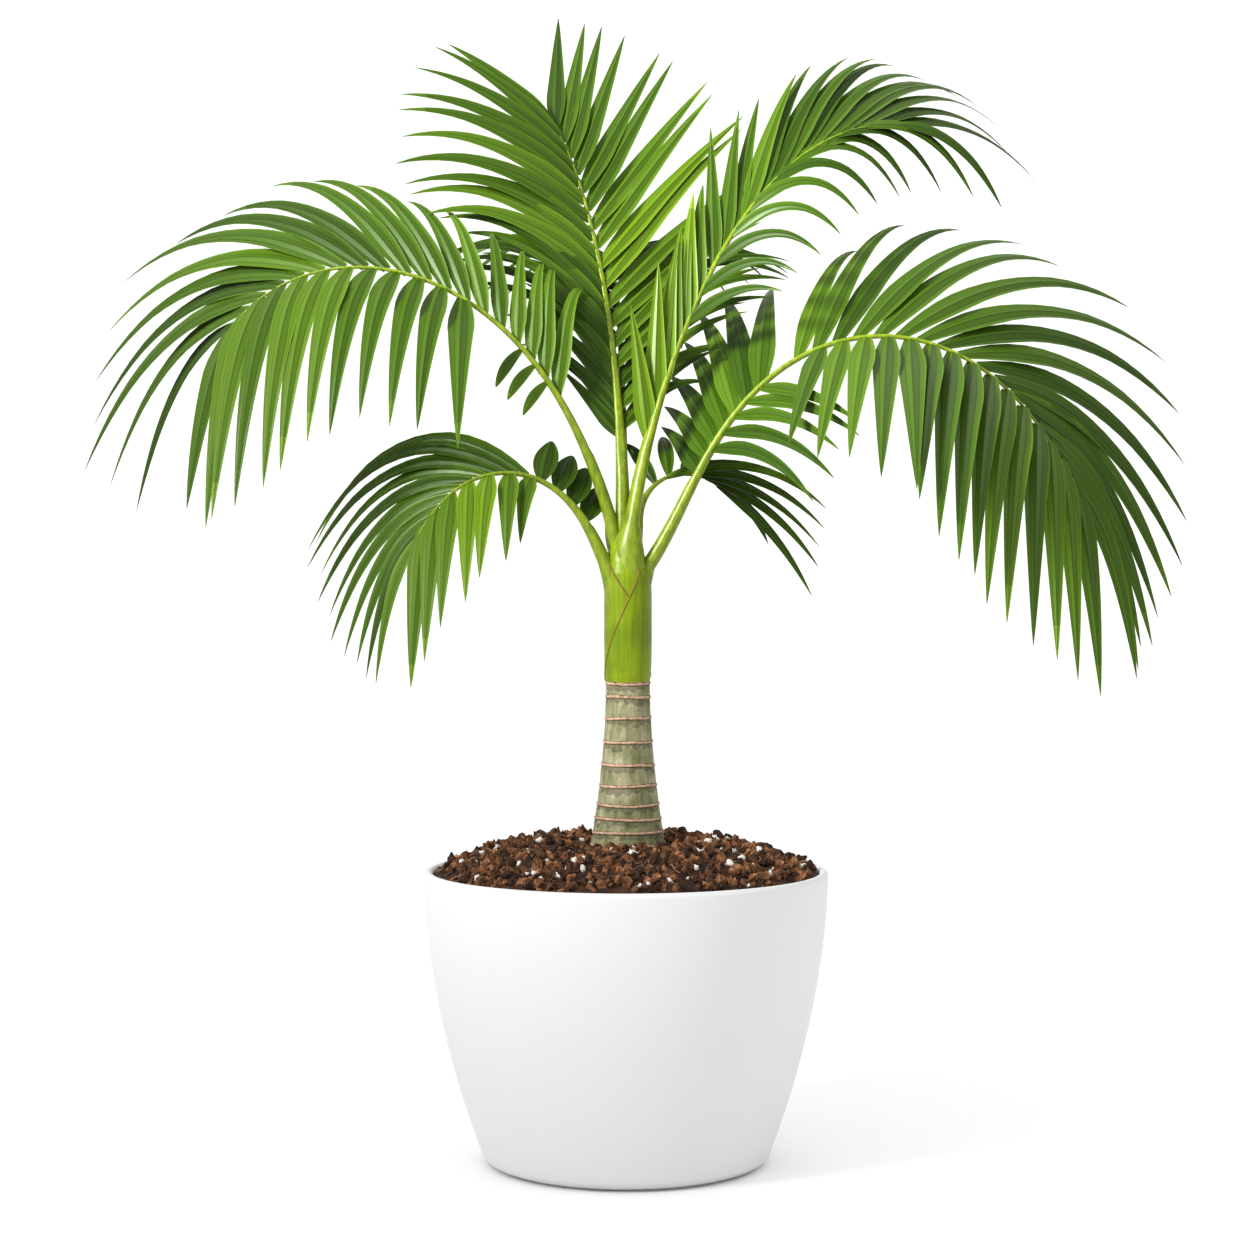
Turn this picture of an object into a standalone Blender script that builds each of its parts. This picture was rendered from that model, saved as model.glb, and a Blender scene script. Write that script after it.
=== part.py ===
"""A potted alexandra palm: a round white pot filled with soil, a ringed trunk
with a flared foot, a smooth green crownshaft and seven feather fronds.

Units are metres and +Z is up. The origin is the centre of the pot's underside,
the plant is seen from -Y, and +X is to the right in that view.
"""
import math
from collections import namedtuple

import bmesh
import bpy
import numpy as np
from mathutils.bvhtree import BVHTree

# Clearance between neighbouring solids
GAP = 0.0003

# Pot
POT_HEIGHT = 0.3055
POT_RIM_RADIUS = 0.2105
POT_TAPER = 0.064
POT_BULGE = 1.85
POT_WALL = 0.0094
POT_FLOOR = 0.012
POT_CORNER = 0.015
FOOT_HEIGHT = 0.002
FOOT_INSET = 0.003
POT_SEGMENTS = 40

# Soil: radius and height of the mound's profile, level under the trunk
SOIL_TOP = 0.326
SOIL_PROFILE = ((0.046, 0.0), (0.085, 0.008), (0.130, 0.001), (0.165, -0.010), (0.190, -0.020))
SOIL_SEGMENTS = 28
SOIL_CLEARANCE = 0.0012
SOIL_LIP = 0.004

# Trunk: ring scars are given by their height above the soil
STEM_X = 0.002
TRUNK_FOOT_RADIUS = 0.038
TRUNK_TOP_RADIUS = 0.0229
TRUNK_FLARE = 1.8
RING_HEIGHTS = (0.0025, 0.016, 0.030, 0.045, 0.0645, 0.0865, 0.111, 0.1355, 0.158)
RING_LIP = 0.0006
RING_RISE = 0.0012
STEM_SEGMENTS = 20

# Crownshaft: radius and height of its profile, which leans left at the top
SHAFT_FOOT = 0.4988
SHAFT_PROFILE = (
    (0.0228, 0.0), (0.0237, 0.008), (0.0246, 0.020), (0.0250, 0.048), (0.0249, 0.100),
    (0.0244, 0.119), (0.0231, 0.138), (0.0211, 0.153), (0.0200, 0.163),
)
SHAFT_LEAN = 0.004
SHAFT_LEAN_FROM = 0.090
SHAFT_BEND = 1.5

# Rib: share of its base radius at places along it
RIB_PLACES = (0.0, 0.10, 0.25, 0.60, 1.0)
RIB_TAPER = (1.0, 0.82, 0.62, 0.42, 0.20)
RIB_STEPS = 120
RIB_RINGS = 14
RIB_SUNK = 0.014

# Leaflets
HANG = 1.3
LOUVER = math.radians(20.0)
LEAF_STEPS = 12
LEAF_STATIONS = (0.0, 0.30, 0.68)
LEAF_WIDTHS = (0.32, 1.0, 0.78)
LEAF_THICKNESS = 1.0 / 72.0
LEAF_MARGIN = 1.12
RIDGE_RISE = 1.4
WIDTH_BY_LENGTH = 0.4
JITTER_ANGLE = 2.5
JITTER_LENGTH = 0.04

# A row of leaflets on one side of a rib. Side 1 is right of the rib as it
# grows away, -1 left. Span is the stretch of the rib that the row covers.
# Sweep is the angle from the rib, lift the angle above the blade's plane and
# droop how far gravity bends a leaflet. Their values are spread evenly along
# the row, from its foot to its tip. Width is the widest leaflet's.
Row = namedtuple("Row", "side count span sweep lift length droop width")

# A frond. Heading is the compass direction in degrees, 0 along +X and 90
# along +Y, and rise the angle above level, both spread evenly along the rib.
Frond = namedtuple("Frond", "name start heading rise length radius split rows")

FRONDS = (
    Frond("left", (-0.0160, 0.002, 0.6695), (178, 171), (74, 49, 3, -66), 0.594, 0.0052, 0.53, (
        Row(1, 19, (0.22, 0.955), (35, 43, 39, 58), (74, 33), (0.20, 0.17, 0.33, 0.29), (1.4, 0.8, 1.9), 0.019),
        Row(-1, 12, (0.46, 0.97), (115, 87, 75, 50), (-23, -28), (0.26, 0.21, 0.27, 0.22), (0.5, 3.4, 0.9), 0.024),
        Row(-1, 3, (0.25, 0.36), (95, 90), (-60, -50), (0.045, 0.060), (1.0, 1.0), 0.010),
    )),
    Frond("centre", (-0.0030, 0.004, 0.6695), (95, 128), (82, 69, 63, 43), 0.510, 0.0052, None, (
        Row(-1, 18, (0.155, 0.985), (38, 36, 52, 24), (0, 12), (0.09, 0.18, 0.22, 0.13), (0.1, 0.9, 0.2), 0.018),
        Row(1, 17, (0.17, 0.96), (42, 39, 28, 13), (4, 12), (0.10, 0.26, 0.27, 0.19), (0.9, 0.2, 0.0), 0.018),
    )),
    Frond("upper_right", (0.0063, -0.0095, 0.6695), (36, 26), (80, 65, 44, -8), 0.613, 0.0055, 0.62, (
        Row(-1, 7, (0.12, 0.415), (27, 15, 17, 22), (74, 60), (0.12, 0.17, 0.16, 0.15), (0.2, 0.7, 0.7), 0.020),
        Row(-1, 14, (0.458, 0.96), (30, 20, 23, 19), (45, 28), (0.16, 0.23, 0.30, 0.26), (0.0, 0.7, 0.8), 0.017),
        Row(1, 11, (0.33, 0.975), (52, 33, 5, 22), (0, 1), (0.12, 0.14, 0.16, 0.17), (0.7, 1.9, 1.9), 0.015),
    )),
    Frond("right", (0.0235, -0.002, 0.6227), (2, -6), (56, 44, -24, -61), 0.649, 0.0066, 0.52, (
        Row(-1, 7, (0.158, 0.352), (69, 66, 60, 50), (42, 42), (0.09, 0.14, 0.20, 0.22), (0.4, 0.5, 0.8), 0.022),
        Row(-1, 17, (0.398, 0.97), (49, 53, 37, 18), (48, 34), (0.21, 0.36, 0.31, 0.21), (0.8, 1.2, 3.9), 0.019),
        Row(1, 5, (0.195, 0.352), (70, 67), (-29, -27), (0.20, 0.18), (1.0, 0.4), 0.015),
        Row(1, 15, (0.44, 0.975), (118, 88, 75, 28), (-25, -24), (0.17, 0.31, 0.31, 0.22), (0.4, 0.7, 2.6), 0.024),
    )),
    Frond("lower_left", (-0.0221, -0.008, 0.6258), (185, 200), (66, 34, -28, -61), 0.285, 0.0060, 0.46, (
        Row(1, 3, (0.25, 0.36), (83, 75), (42, 42), (0.10, 0.08), (0.7, 0.7), 0.022),
        Row(1, 11, (0.415, 0.985), (36, 47, 38, 5), (38, 26), (0.30, 0.25, 0.19, 0.15), (2.1, 2.3, 4.5), 0.017),
        Row(-1, 7, (0.388, 0.93), (82, 72, 50, 28), (-30, -30), (0.07, 0.13, 0.16, 0.17), (2.3, 1.9, 1.8), 0.021),
    )),
    Frond("lower_right", (0.0120, 0.0085, 0.6645), (40, 20), (88, 40, -3, -46), 0.140, 0.0042, None, (
        Row(1, 7, (0.45, 0.98), (48, 24), (0, 0), (0.17, 0.11), (2.2, 3.2), 0.014),
        Row(-1, 5, (0.40, 0.95), (60, 35), (45, 35), (0.06, 0.11), (1.2, 2.5), 0.014),
    )),
    Frond("back", (-0.0040, 0.0165, 0.6695), (88, 104), (76, 60, 22, -42), 0.550, 0.0044, 0.56, (
        Row(1, 15, (0.17, 0.97), (44, 52, 48, 22), (28, 14), (0.12, 0.22, 0.21, 0.13), (0.6, 1.2, 2.0), 0.017),
        Row(-1, 15, (0.19, 0.98), (44, 52, 48, 22), (28, 14), (0.12, 0.22, 0.21, 0.13), (0.6, 1.2, 2.0), 0.017),
    )),
)

# Base colour, roughness and metallic value of each finish
FINISHES = {
    "glazed_white": ((0.86, 0.86, 0.85, 1.0), 0.45, 0.0),
    "potting_soil": ((0.075, 0.036, 0.020, 1.0), 0.95, 0.0),
    "ringed_bark": ((0.30, 0.31, 0.22, 1.0), 0.75, 0.0),
    "crownshaft_green": ((0.24, 0.36, 0.035, 1.0), 0.35, 0.0),
    "frond_green": ((0.075, 0.20, 0.022, 1.0), 0.40, 0.0),
}


def clear_scene():
    """Remove every object, so the script can be run again."""
    for thing in list(bpy.data.objects):
        bpy.data.objects.remove(thing, do_unlink=True)


def new_collection(name):
    """Add a collection to the scene."""
    collection = bpy.data.collections.new(name)
    bpy.context.scene.collection.children.link(collection)
    return collection


def finish(name):
    """Return the named material, made the first time it is asked for."""
    material = bpy.data.materials.get(name)
    if material is None:
        material = bpy.data.materials.new(name)
        material.use_nodes = True
        shader = material.node_tree.nodes["Principled BSDF"]
        colour, roughness, metallic = FINISHES[name]
        shader.inputs["Base Color"].default_value = colour
        shader.inputs["Roughness"].default_value = roughness
        shader.inputs["Metallic"].default_value = metallic
    return material


def along(values, place):
    """Read the smooth curve through values that are spread evenly from 0 to 1."""
    places = np.linspace(0.0, 1.0, len(values))
    return np.polyval(np.polyfit(places, values, len(values) - 1), place)


def unit(vectors):
    """Scale each vector to length 1."""
    return vectors / np.linalg.norm(vectors, axis=-1, keepdims=True)


def turned(name, profile, segments, collection, material):
    """Turn a profile of (radius, height) points, inside or top first, about Z."""
    mesh = bpy.data.meshes.new(name)
    points = [(radius, 0.0, height) for radius, height in profile]
    edges = [(index, index + 1) for index in range(len(points) - 1)]
    mesh.from_pydata(points, edges, [])
    piece = bpy.data.objects.new(name, mesh)
    collection.objects.link(piece)
    screw = piece.modifiers.new("Turn", "SCREW")
    screw.steps = segments
    screw.render_steps = segments
    screw.use_merge_vertices = True
    screw.merge_threshold = 0.00001
    screw.use_smooth_shade = True
    mesh.materials.append(finish(material))
    return piece


def pot_radius(height):
    """Outer radius of the pot's side, which narrows faster towards the foot."""
    return POT_RIM_RADIUS - POT_TAPER * (1.0 - height / POT_HEIGHT) ** POT_BULGE


def pot_slope(height):
    """Angle of the pot's side from upright."""
    rise = 0.001
    return math.atan2(pot_radius(height + rise) - pot_radius(height), rise)


def pot_profile():
    """Inside floor, inner wall, round rim, outer side, round corner and foot."""
    inner = [(pot_radius(z) - POT_WALL, z) for z in np.linspace(POT_FLOOR, POT_HEIGHT - POT_WALL / 2, 6)]
    half = POT_WALL / 2
    rim_centre = pot_radius(POT_HEIGHT - half) - half
    rim = []
    for angle in np.linspace(math.pi, 0.0, 6)[1:-1]:
        rim.append((rim_centre + half * math.cos(angle), POT_HEIGHT - half + half * math.sin(angle)))
    slope = pot_slope(POT_CORNER)
    side_foot = FOOT_HEIGHT + POT_CORNER * (1.0 - math.sin(slope))
    side = [(pot_radius(z), z) for z in np.linspace(POT_HEIGHT - half, side_foot, 8)]
    centre = pot_radius(side_foot) - POT_CORNER * math.cos(slope)
    turn_height = FOOT_HEIGHT + POT_CORNER
    corner = []
    for angle in np.linspace(-slope, -math.pi / 2, 5)[1:]:
        corner.append((centre + POT_CORNER * math.cos(angle), turn_height + POT_CORNER * math.sin(angle)))
    foot = [(centre - FOOT_INSET, FOOT_HEIGHT), (centre - FOOT_INSET, 0.0), (0.0, 0.0)]
    return [(0.0, POT_FLOOR)] + inner + rim + side + corner + foot


def soil_profile():
    """Mound on top, then the side that follows the pot's inner wall."""
    top = [(0.0, SOIL_TOP)] + [(radius, SOIL_TOP + rise) for radius, rise in SOIL_PROFILE]
    edge = SOIL_TOP + SOIL_PROFILE[-1][1] - SOIL_LIP
    side = [(pot_radius(z) - POT_WALL - SOIL_CLEARANCE, z) for z in np.linspace(edge, POT_FLOOR + GAP, 6)]
    return top + side + [(0.0, POT_FLOOR + GAP)]


def trunk_radius(height):
    """Trunk radius at a height above the soil, with the flare at the foot."""
    top = SHAFT_FOOT - SOIL_TOP
    share = (1.0 - height / top) ** TRUNK_FLARE
    return TRUNK_TOP_RADIUS + (TRUNK_FOOT_RADIUS - TRUNK_TOP_RADIUS) * share


def trunk_profile():
    """Tapering trunk with a low lip at each ring scar, from its top down."""
    top = SHAFT_FOOT - SOIL_TOP - GAP
    points = [(0.0, top), (trunk_radius(top), top)]
    for ring in reversed(RING_HEIGHTS):
        points.append((trunk_radius(ring) + RING_LIP, ring + RING_RISE))
        points.append((trunk_radius(ring), ring - RING_RISE))
    points += [(trunk_radius(0.0) + RING_LIP, GAP), (0.0, GAP)]
    return [(radius, SOIL_TOP + height) for radius, height in points]


def shaft_profile(grow):
    """Crownshaft from its top down, grown outwards by a clearance."""
    points = [(radius + grow, SHAFT_FOOT + height) for radius, height in reversed(SHAFT_PROFILE)]
    top = points[0][1] + grow
    foot = SHAFT_FOOT - grow
    points[0] = (points[0][0], top)
    points[-1] = (points[-1][0], foot)
    return [(0.0, top)] + points + [(0.0, foot)]


def make_shaft(name, grow, collection):
    """Turn the crownshaft and lean its upper part to the left."""
    piece = turned(name, shaft_profile(grow), STEM_SEGMENTS, collection, "crownshaft_green")
    piece = as_mesh(piece, name, collection)
    lean_height = SHAFT_PROFILE[-1][1] - SHAFT_LEAN_FROM
    for vertex in piece.data.vertices:
        above = max(0.0, vertex.co.z - SHAFT_FOOT - SHAFT_LEAN_FROM) / lean_height
        vertex.co.x += STEM_X - SHAFT_LEAN * above ** SHAFT_BEND
    return piece


def as_mesh(piece, name, collection, weld=0.00001):
    """Apply an object's modifiers or curve to a plain mesh object in its place."""
    bpy.context.view_layer.update()
    graph = bpy.context.evaluated_depsgraph_get()
    mesh = bpy.data.meshes.new_from_object(piece.evaluated_get(graph), depsgraph=graph)
    matrix = piece.matrix_world.copy()
    bpy.data.objects.remove(piece, do_unlink=True)
    mesh.name = name
    work = bmesh.new()
    work.from_mesh(mesh)
    bmesh.ops.remove_doubles(work, verts=work.verts, dist=weld)
    bmesh.ops.triangulate(work, faces=work.faces)
    bmesh.ops.recalc_face_normals(work, faces=work.faces)
    work.to_mesh(mesh)
    work.free()
    solid = bpy.data.objects.new(name, mesh)
    solid.matrix_world = matrix
    collection.objects.link(solid)
    return solid


def rib_frames(frond):
    """Points of a rib with its tangent, side and upper vectors."""
    def vectors(place):
        rise = np.radians(along(frond.rise, place))
        heading = np.radians(along(frond.heading, place))
        level = np.stack([np.cos(heading), np.sin(heading), 0.0 * heading], 1)
        upright = np.array([[0.0, 0.0, 1.0]])
        tangent = np.cos(rise)[:, None] * level + np.sin(rise)[:, None] * upright
        side = np.stack([np.sin(heading), -np.cos(heading), 0.0 * heading], 1)
        return tangent, side, np.cross(side, tangent)

    places = np.linspace(0.0, 1.0, RIB_STEPS + 1)
    middles = (places[1:] + places[:-1]) / 2
    steps = vectors(middles)[0] * frond.length / RIB_STEPS
    points = np.concatenate([np.zeros((1, 3)), np.cumsum(steps, 0)]) + np.array(frond.start)
    knots = np.linspace(0.0, 1.0, RIB_RINGS + 1)
    return tuple(np.array([read(values, knot) for knot in knots]) for values in (points,) + vectors(places))


def read(values, place):
    """Read a list of vectors at a place from 0 to 1."""
    at = min(max(place, 0.0), 1.0) * (len(values) - 1)
    first = min(int(at), len(values) - 2)
    return values[first] + (values[first + 1] - values[first]) * (at - first)


def rib_radius(frond, place):
    """Radius of a rib, which tapers from its petiole to its tip."""
    return frond.radius * np.interp(place, RIB_PLACES, RIB_TAPER)


def make_rib(name, frond, frames, first, last, collection):
    """Make the stretch of a rib between two places as a tapered tube."""
    points, tangents = frames[0], frames[1]
    knots = np.linspace(0.0, 1.0, RIB_RINGS + 1)
    places = [first] + [knot for knot in knots if first < knot < last] + [last]
    centres = [read(points, place) for place in places]
    radii = [rib_radius(frond, place) for place in places]
    if first == 0.0:
        centres.insert(0, centres[0] - tangents[0] * RIB_SUNK)
        radii.insert(0, radii[0])
    else:
        centres[0] = centres[0] + read(tangents, first) * GAP
    curve = bpy.data.curves.new(name, "CURVE")
    curve.dimensions = "3D"
    curve.bevel_depth = 1.0
    curve.bevel_resolution = 0
    curve.use_fill_caps = True
    spline = curve.splines.new("POLY")
    spline.points.add(len(centres) - 1)
    for knot, centre, radius in zip(spline.points, centres, radii):
        knot.co = (*centre, 1.0)
        knot.radius = radius
    rib = bpy.data.objects.new(name, curve)
    collection.objects.link(rib)
    return as_mesh(rib, name, collection)


def leaflet_path(root, frame, side, sweep, lift, length, droop):
    """Points along a leaflet that leaves the rib and sags under its weight."""
    tangent, across, upper = frame
    outward = side * math.cos(lift) * across + math.sin(lift) * upper
    start = math.cos(sweep) * tangent + math.sin(sweep) * outward
    share = (np.arange(LEAF_STEPS) + 0.5) / LEAF_STEPS
    sag = (droop * share ** HANG)[:, None] * np.array([[0.0, 0.0, -1.0]])
    steps = unit(start + sag) * length / LEAF_STEPS
    return np.concatenate([[root], root + np.cumsum(steps, 0)])


def leaflet_mesh(path, tangent, side, width, grow=1.0):
    """Loft a leaflet: a blade with two edges and a ridge, drawn to a point."""
    length = np.linalg.norm(np.diff(path, axis=0), axis=1).sum()
    thickness = length * LEAF_THICKNESS * grow
    work = bmesh.new()
    rings = []
    for station, share in zip(LEAF_STATIONS, LEAF_WIDTHS):
        centre = read(path, station)
        along_leaf = unit(read(np.gradient(path, axis=0), station))
        flat = unit(tangent - tangent.dot(along_leaf) * along_leaf)
        upper = side * np.cross(along_leaf, flat)
        flat, upper = (
            math.cos(LOUVER) * flat + math.sin(LOUVER) * upper,
            math.cos(LOUVER) * upper - math.sin(LOUVER) * flat,
        )
        half = width * share * grow / 2
        ridge = thickness * min(1.0, share * RIDGE_RISE)
        corners = (centre - flat * half, centre + flat * half, centre + upper * ridge)
        rings.append([work.verts.new(corner) for corner in corners])
    tip = work.verts.new(path[-1])
    work.faces.new(rings[0])
    for lower, higher in zip(rings, rings[1:]):
        for index in range(3):
            after = (index + 1) % 3
            work.faces.new((lower[index], lower[after], higher[after], higher[index]))
    for index in range(3):
        work.faces.new((rings[-1][index], rings[-1][(index + 1) % 3], tip))
    bmesh.ops.triangulate(work, faces=work.faces)
    bmesh.ops.recalc_face_normals(work, faces=work.faces)
    return work


def row_leaflets(frames, row, generator):
    """Give the place, path, rib tangent and width of each leaflet in a row."""
    shares = (np.arange(row.count) + 0.5) / row.count
    longest = max(row.length)
    for share in shares:
        wander = generator.uniform(-1.0, 1.0, 3)
        place = row.span[0] + (row.span[1] - row.span[0]) * share
        sweep = math.radians(along(row.sweep, share) + JITTER_ANGLE * wander[0])
        lift = math.radians(along(row.lift, share) + JITTER_ANGLE * wander[1])
        length = along(row.length, share) * (1.0 + JITTER_LENGTH * wander[2])
        droop = max(0.0, along(row.droop, share))
        root, tangent, across, upper = (read(values, place) for values in frames)
        path = leaflet_path(root, (tangent, across, upper), row.side, sweep, lift, length, droop)
        width = row.width * min(1.0, length / longest) ** WIDTH_BY_LENGTH
        yield place, path, tangent, width


def box_of(points):
    """Lowest and highest corner of a list of points."""
    return np.min(points, 0), np.max(points, 0)


def boxes_meet(one, other):
    """Say whether two boxes overlap."""
    return bool(np.all(one[0] <= other[1]) and np.all(other[0] <= one[1]))


class Space:
    """Remembers the solids that are in place, to keep leaflets off them."""

    def __init__(self):
        self.taken = []

    def add_mesh(self, node, work):
        """Record a bmesh as part of a node."""
        box = box_of([vertex.co[:] for vertex in work.verts])
        self.taken.append((node, box, BVHTree.FromBMesh(work)))

    def add_object(self, node, piece):
        """Record an object as part of a node."""
        work = bmesh.new()
        work.from_mesh(piece.data)
        self.add_mesh(node, work)
        work.free()

    def is_free(self, node, work):
        """Say whether a bmesh keeps clear of every other node."""
        box = box_of([vertex.co[:] for vertex in work.verts])
        tree = BVHTree.FromBMesh(work)
        for other, other_box, other_tree in self.taken:
            if other != node and boxes_meet(box, other_box) and tree.overlap(other_tree):
                return False
        return True


def stretches(frond):
    """Name the node or nodes of a frond and the stretch of rib that each holds."""
    name = "frond_" + frond.name
    if frond.split is None:
        return [(name, 0.0, 1.0)]
    return [(name + "_inner", 0.0, frond.split), (name + "_outer", frond.split, 1.0)]


def grow_leaflets(frond, frames, seed, space, loose):
    """Add each leaflet that fits as an object in its node's own collection."""
    generator = np.random.default_rng(seed)
    nodes = stretches(frond)
    for row in frond.rows:
        for place, path, tangent, width in row_leaflets(frames, row, generator):
            node = nodes[0][0] if place < nodes[0][2] else nodes[-1][0]
            wide = leaflet_mesh(path, tangent, row.side, width, LEAF_MARGIN)
            fits = space.is_free(node, wide)
            wide.free()
            if not fits:
                continue
            work = leaflet_mesh(path, tangent, row.side, width)
            space.add_mesh(node, work)
            mesh = bpy.data.meshes.new("leaflet")
            work.to_mesh(mesh)
            work.free()
            leaf = bpy.data.objects.new("leaflet", mesh)
            loose[node].objects.link(leaf)


def boolean(piece, operation, name, collection, cutter=None, joined=None):
    """Apply one Boolean with an object or a collection and return the result."""
    cut = piece.modifiers.new("Boolean", "BOOLEAN")
    cut.operation = operation
    cut.solver = "EXACT"
    if joined is not None:
        cut.operand_type = "COLLECTION"
        cut.collection = joined
    else:
        cut.object = cutter
    return as_mesh(piece, name, collection, weld=0.000001)


def remove_collection(collection):
    """Remove a collection with the objects in it."""
    for thing in list(collection.objects):
        bpy.data.objects.remove(thing, do_unlink=True)
    bpy.data.collections.remove(collection)


def make_fronds(palm, shaft):
    """Grow the fronds: ribs first, then the leaflets, then one solid a node."""
    space = Space()
    for piece in palm.objects:
        if not piece.modifiers:
            space.add_object(piece.name, piece)
    frames = {frond.name: rib_frames(frond) for frond in FRONDS}
    ribs = {}
    loose = {}
    for frond in FRONDS:
        for node, first, last in stretches(frond):
            ribs[node] = make_rib(node, frond, frames[frond.name], first, last, palm)
            space.add_object(node, ribs[node])
            loose[node] = new_collection("leaflets_" + node)
    for seed, frond in enumerate(FRONDS):
        grow_leaflets(frond, frames[frond.name], seed, space, loose)
    for frond in FRONDS:
        for node, first, _ in stretches(frond):
            solid = boolean(ribs[node], "UNION", node, palm, joined=loose[node])
            remove_collection(loose[node])
            if first == 0.0:
                solid = boolean(solid, "DIFFERENCE", node, palm, cutter=shaft)
            solid.data.materials.clear()
            solid.data.materials.append(finish("frond_green"))


def main():
    """Build the pot, the soil, the stem and the fronds."""
    clear_scene()
    palm = new_collection("potted_alexandra_palm")
    cutters = new_collection("cutters")
    turned("pot", pot_profile(), POT_SEGMENTS, palm, "glazed_white")
    turned("soil", soil_profile(), SOIL_SEGMENTS, palm, "potting_soil")
    trunk = turned("trunk", trunk_profile(), STEM_SEGMENTS, palm, "ringed_bark")
    trunk.location.x = STEM_X
    make_shaft("crownshaft", 0.0, palm)
    shaft_cutter = make_shaft("crownshaft_cutter", GAP, cutters)
    shaft_cutter.hide_render = True
    shaft_cutter.display_type = "WIRE"
    make_fronds(palm, shaft_cutter)


main()
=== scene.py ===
"""Looks of a potted alexandra palm: a white pot, soil with grit and fibres, a
ringed trunk, a wrapped crownshaft, and fronds of pleated leaflets.

Laid out as an add-on whose operators build one piece each, and run as a script.
"""
import math
from collections import namedtuple

import bmesh
import bpy
import numpy as np
from bpy.props import FloatProperty, FloatVectorProperty, IntProperty, PointerProperty
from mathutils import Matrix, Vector, noise


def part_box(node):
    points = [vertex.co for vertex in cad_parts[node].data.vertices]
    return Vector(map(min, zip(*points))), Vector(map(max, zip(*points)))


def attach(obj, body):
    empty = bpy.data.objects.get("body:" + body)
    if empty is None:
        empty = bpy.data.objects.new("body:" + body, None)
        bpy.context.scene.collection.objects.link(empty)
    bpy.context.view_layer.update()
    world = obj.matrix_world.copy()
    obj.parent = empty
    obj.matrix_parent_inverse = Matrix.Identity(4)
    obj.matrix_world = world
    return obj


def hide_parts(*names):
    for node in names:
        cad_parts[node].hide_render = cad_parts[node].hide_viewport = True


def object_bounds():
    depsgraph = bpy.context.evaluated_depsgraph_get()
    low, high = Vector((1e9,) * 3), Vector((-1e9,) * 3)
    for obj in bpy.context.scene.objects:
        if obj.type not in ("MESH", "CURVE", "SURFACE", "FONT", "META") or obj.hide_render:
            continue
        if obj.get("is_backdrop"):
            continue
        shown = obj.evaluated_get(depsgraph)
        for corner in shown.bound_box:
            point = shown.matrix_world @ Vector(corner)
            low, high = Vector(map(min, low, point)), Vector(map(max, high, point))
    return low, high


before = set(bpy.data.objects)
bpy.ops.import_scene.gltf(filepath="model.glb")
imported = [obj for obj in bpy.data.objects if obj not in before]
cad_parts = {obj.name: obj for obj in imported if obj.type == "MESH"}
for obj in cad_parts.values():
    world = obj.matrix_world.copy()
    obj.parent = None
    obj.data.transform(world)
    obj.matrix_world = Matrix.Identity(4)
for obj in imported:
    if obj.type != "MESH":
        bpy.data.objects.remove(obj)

bl_info = {
    "name": "Potted Alexandra Palm",
    "version": (1, 0, 0),
    "blender": (4, 5, 0),
    "location": "View3D > Sidebar > Palm",
    "description": "Builds a potted feather palm around its packed solids",
    "category": "Add Mesh",
}

CAD_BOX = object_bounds()
POT_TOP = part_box("pot")[1][2]
SHAFT_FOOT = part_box("crownshaft")[0][2]

# Pot: its side narrows faster towards the foot, and its wall goes on inside
# for a little way under the soil
POT_TAPER = 0.064
POT_BULGE = 1.85
POT_WALL = 0.0094
POT_WALL_UNDER_SOIL = 0.03
POT_CORNER = 0.015
POT_CREASE = 50.0
INSIDE_STEPS = 8
RIM_STEPS = 14
SIDE_STEPS = 40
CORNER_STEPS = 12
SLOPE_STEP = 0.001
FOOT_HEIGHT = 0.002
FOOT_INSET = 0.003
FOOT_RING = 0.02
FOOT_MIDDLE = 0.002

# Soil: radius and height of the mound's profile above the trunk's foot, its
# rings, and the scale, layer and height of its lumps, calmer by the trunk
SOIL_TOP = 0.326
SOIL_PROFILE = (
    (0.0, 0.0), (0.046, 0.0), (0.085, 0.008), (0.130, 0.001), (0.165, -0.010), (0.190, -0.020),
)
SOIL_REACH = 0.2015
SOIL_EDGE = -0.026
SOIL_MIDDLE = 0.0015
SOIL_WIDTH = 0.1995
SOIL_RINGS = 110
SOIL_SIDES = 200
SOIL_LUMPS = ((38.0, 1.7, 0.0050), (110.0, 4.1, 0.0030))
SOIL_DROP = 0.001
CALM_FROM = 0.030
CALM_WIDTH = 0.02
CALM_SHARE = 0.35

# A heap of small stones: the range of their sizes, the shares of the size
# along their axes, the seed, how high their middles stand above the soil as a
# share of the size, and how far out they lie
Heap = namedtuple("Heap", "name sizes stretch seed stand reach")
CRUMBS = Heap("soil_crumbs", (0.0014, 0.0062), (1.25, 0.85, 0.65), 11, 0.25, 0.195)
GRIT = Heap("soil_grit", (0.0018, 0.0042), (1.0, 0.9, 0.80), 12, 0.75, 0.190)
CRUMB_SHADES = (("soil_crumbs_dark", 0.30), ("soil_crumbs", 0.75), ("soil_crumbs_light", 1.35))
SHADE_SPREAD = 3.6
SHADE_BIAS = 1.2
SMALL_STONE = 0.003
STONE_SCALE = 2.1
STONE_ROUGH = 0.85
STONE_VARIES = (0.8, 1.2)
TRUNK_GAP = 0.8

# Fibres: thin strands that wander over the soil and turn back at its edge
FIBRE_SEED = 13
FIBRE_KNOTS = 9
FIBRE_SIDES = 3
FIBRE_STEP = (0.0012, 0.0035)
FIBRE_THICK = (0.0003, 0.0007)
FIBRE_BEND = 60.0
FIBRE_START = (0.08, 1.0)
FIBRE_REACH = 0.185
FIBRE_EDGE = 0.193
FIBRE_STAND = 0.0030
FIBRE_WAVE = 0.0016
FIBRE_WAVES = 1.1

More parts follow.
